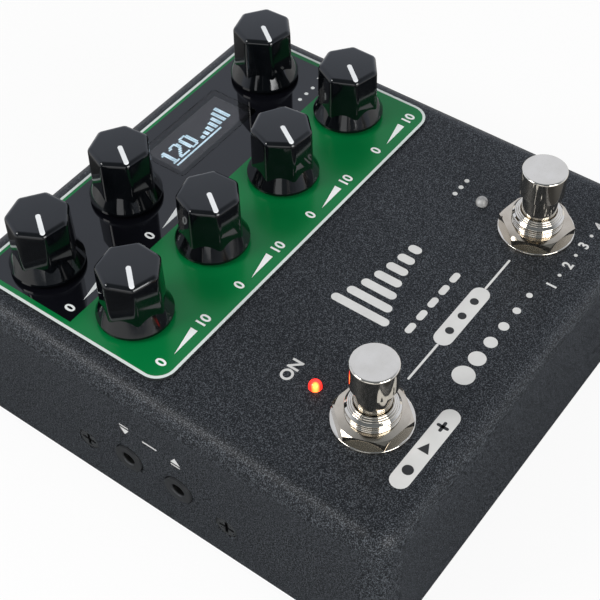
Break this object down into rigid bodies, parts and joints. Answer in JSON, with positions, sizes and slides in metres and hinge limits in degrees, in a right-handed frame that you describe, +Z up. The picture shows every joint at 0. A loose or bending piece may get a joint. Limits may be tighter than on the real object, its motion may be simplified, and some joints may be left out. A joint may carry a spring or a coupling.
{
  "type": "tape echo pedal",
  "caption": "Low metal floor pedal with a glossy control panel, turning knobs, a small display, press-down footswitches and plug sockets.",
  "frame": {"origin": "middle of the rubber pad's underside, on the surface that the pedal stands on", "axes": "+X to the player's right, +Y away from the player to the socket side, +Z up"},
  "size_m": [0.1195, 0.1284, 0.0628],
  "materials": {
    "case_paint": "sand-textured charcoal powder coat",
    "base_paint": "satin black coat on steel",
    "pad_rubber": "fine-grained black rubber",
    "screw_black": "black oxide",
    "panel_gloss": "glossy green acrylic with a black zone",
    "window_smoke": "smoked clear acrylic",
    "screen_glass": "dark display glass",
    "foam": "closed-cell foam",
    "board_green": "solder-masked board",
    "pillar_brass": "turned brass",
    "screw_steel": "zinc-plated",
    "ribbon_grey": "ribbon cable jacket",
    "pot_steel": "stamped steel",
    "nut_nickel": "nickel plate",
    "switch_chrome": "bright nickel-chrome plate",
    "switch_case": "nickel-plated bush on a moulded body",
    "spring_steel": "drawn spring wire",
    "knob_black": "glossy black moulding",
    "pointer_white": "white filled line",
    "shaft_alloy": "turned alloy",
    "lamp_red": "lit red lens",
    "lamp_clear": "milky unlit lens",
    "socket_black": "black moulding",
    "port_steel": "stamped steel shell"
  },
  "bodies": {
    "case": {"top_cover": "case_paint", "base_plate": "base_paint", "base_pad": "pad_rubber", "side_screws": "screw_black", "overlay_panel": "panel_gloss", "display_window": "window_smoke", "display_module": "screen_glass", "display_gasket": "foam", "control_board": "board_green", "main_board": "board_green", "board_standoffs": "pillar_brass", "board_screws": "screw_steel", "ribbon_cable": "ribbon_grey", "pots": "pot_steel", "pot_nuts": "nut_nickel", "switch_nuts": "switch_chrome", "switch_washers": "switch_chrome", "switch_locknuts": "nut_nickel", "jack_nuts": "socket_black", "dc_inlet": "socket_black", "usb_port": "port_steel", "led_on": "lamp_red", "led_tap": "lamp_clear", "midi_in_jack": "socket_black", "midi_out_jack": "socket_black", "switch_body_on": "switch_case", "spring_on": "spring_steel", "switch_body_tap": "switch_case", "spring_tap": "spring_steel", "jack_out_left": "socket_black", "jack_out_right": "socket_black", "jack_in_left": "socket_black", "jack_in_right": "socket_black"},
    "time_knob": {"knob_time": "knob_black", "pointer_time": "pointer_white", "shaft_time": "shaft_alloy"},
    "repeat_knob": {"knob_repeat": "knob_black", "pointer_repeat": "pointer_white", "shaft_repeat": "shaft_alloy"},
    "level_knob": {"knob_level": "knob_black", "pointer_level": "pointer_white", "shaft_level": "shaft_alloy"},
    "reverb_knob": {"knob_reverb": "knob_black", "pointer_reverb": "pointer_white", "shaft_reverb": "shaft_alloy"},
    "bass_knob": {"knob_bass": "knob_black", "pointer_bass": "pointer_white", "shaft_bass": "shaft_alloy"},
    "treble_knob": {"knob_treble": "knob_black", "pointer_treble": "pointer_white", "shaft_treble": "shaft_alloy"},
    "select_knob": {"knob_select": "knob_black", "pointer_select": "pointer_white", "shaft_select": "shaft_alloy"},
    "on_plunger": {"plunger_on": "switch_chrome"},
    "tap_plunger": {"plunger_tap": "switch_chrome"}
  },
  "joints": [
    {"name": "time_turn", "type": "hinge", "parent": "case", "child": "time_knob", "pos_m": [-0.04124, 0.0175, 0.0444], "axis": [0, 0, 1], "range_deg": [-300, 0]},
    {"name": "repeat_turn", "type": "hinge", "parent": "case", "child": "repeat_knob", "pos_m": [-0.01375, 0.0175, 0.0444], "axis": [0, 0, 1], "range_deg": [-300, 0]},
    {"name": "level_turn", "type": "hinge", "parent": "case", "child": "level_knob", "pos_m": [0.01375, 0.0175, 0.0444], "axis": [0, 0, 1], "range_deg": [-300, 0]},
    {"name": "reverb_turn", "type": "hinge", "parent": "case", "child": "reverb_knob", "pos_m": [0.04124, 0.0175, 0.0444], "axis": [0, 0, 1], "range_deg": [-300, 0]},
    {"name": "bass_turn", "type": "hinge", "parent": "case", "child": "bass_knob", "pos_m": [-0.04124, 0.04425, 0.0444], "axis": [0, 0, 1], "range_deg": [-300, 0]},
    {"name": "treble_turn", "type": "hinge", "parent": "case", "child": "treble_knob", "pos_m": [-0.01375, 0.04425, 0.0444], "axis": [0, 0, 1], "range_deg": [-300, 0]},
    {"name": "select_turn", "type": "hinge", "parent": "case", "child": "select_knob", "pos_m": [0.04124, 0.04425, 0.0444], "axis": [0, 0, 1], "range_deg": [-300, 0]},
    {"name": "on_press", "type": "slide", "parent": "case", "child": "on_plunger", "axis": [0, 0, -1], "range_m": [0, 0.0022], "stiffness_N_per_m": 1500, "springref_m": -0.001, "deforming": ["spring_on"]},
    {"name": "tap_press", "type": "slide", "parent": "case", "child": "tap_plunger", "axis": [0, 0, -1], "range_m": [0, 0.0022], "stiffness_N_per_m": 1500, "springref_m": -0.001, "deforming": ["spring_tap"]}
  ]
}
